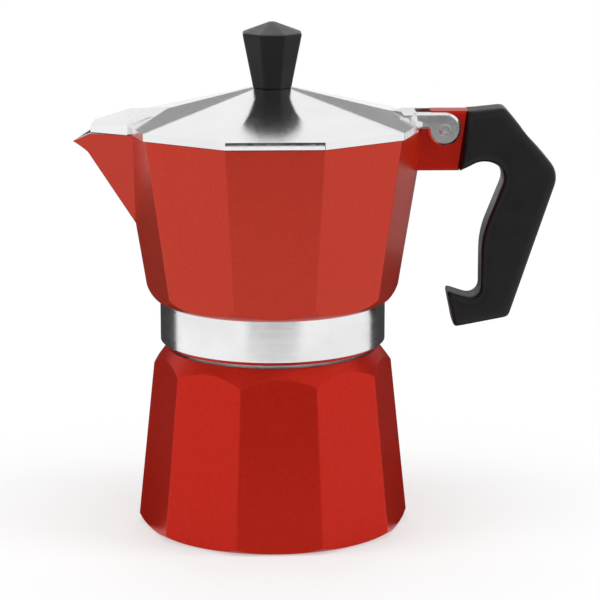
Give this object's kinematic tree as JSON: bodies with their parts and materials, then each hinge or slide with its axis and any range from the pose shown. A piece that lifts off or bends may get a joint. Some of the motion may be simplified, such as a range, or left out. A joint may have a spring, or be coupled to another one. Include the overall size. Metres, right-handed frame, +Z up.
{
  "type": "moka pot",
  "caption": "Stovetop moka pot: faceted red boiler and collector with a bare collar, polished hinged lid with beak, black knob and hooked handle, funnel, filters, gasket and safety valve.",
  "frame": {"origin": "centre of the flat foot, on the pot's axis", "axes": "+Z up along the pot's axis, -X towards the spout, +X towards the handle"},
  "size_m": [0.1508, 0.0924, 0.1596],
  "materials": {
    "red_paint": "satin",
    "polished_aluminium": "polished",
    "sheet_aluminium": "satin",
    "black_plastic": "satin",
    "brass": "satin",
    "steel": "satin",
    "rubber": "matte"
  },
  "bodies": {
    "boiler": {"boiler": "red_paint", "safety_valve_body": "brass", "safety_valve_washer": "rubber", "safety_valve_spring": "steel", "safety_valve_retainer": "brass"},
    "plunger": {"safety_valve_plunger": "brass"},
    "funnel": {"funnel_cup": "sheet_aluminium", "funnel_stem": "sheet_aluminium", "funnel_filter": "sheet_aluminium"},
    "collector": {"collector": "red_paint", "gasket": "rubber", "filter_plate": "sheet_aluminium", "hinge_pin": "steel", "handle": "black_plastic", "handle_screw": "steel", "handle_washer": "steel"},
    "lid": {"lid": "polished_aluminium", "knob": "black_plastic", "knob_insert": "brass", "knob_screw": "steel", "knob_washer": "steel"}
  },
  "joints": [
    {"name": "valve_lift", "type": "slide", "parent": "boiler", "child": "plunger", "axis": [-0.0307, 0.9995, 0], "range_m": [0, 0.0015], "stiffness_N_per_m": 1500, "springref_m": -0.002, "deforming": ["safety_valve_spring"]},
    {"name": "collector_turn", "type": "hinge", "parent": "boiler", "child": "funnel", "pos_m": [0, 0, 0.0624], "axis": [0, 0, 1], "range_deg": [0, 810]},
    {"name": "collector_lift", "type": "slide", "parent": "funnel", "child": "collector", "axis": [0, 0, 1], "range_m": [0, 0.0068]},
    {"name": "lid_hinge", "type": "hinge", "parent": "collector", "child": "lid", "pos_m": [0.0534, 0, 0.1267], "axis": [0, 1, 0], "range_deg": [0, 100]}
  ],
  "couplings": [
    {"joint": "collector_lift", "follows": "collector_turn", "m_per_rad": 0.00047746}
  ]
}
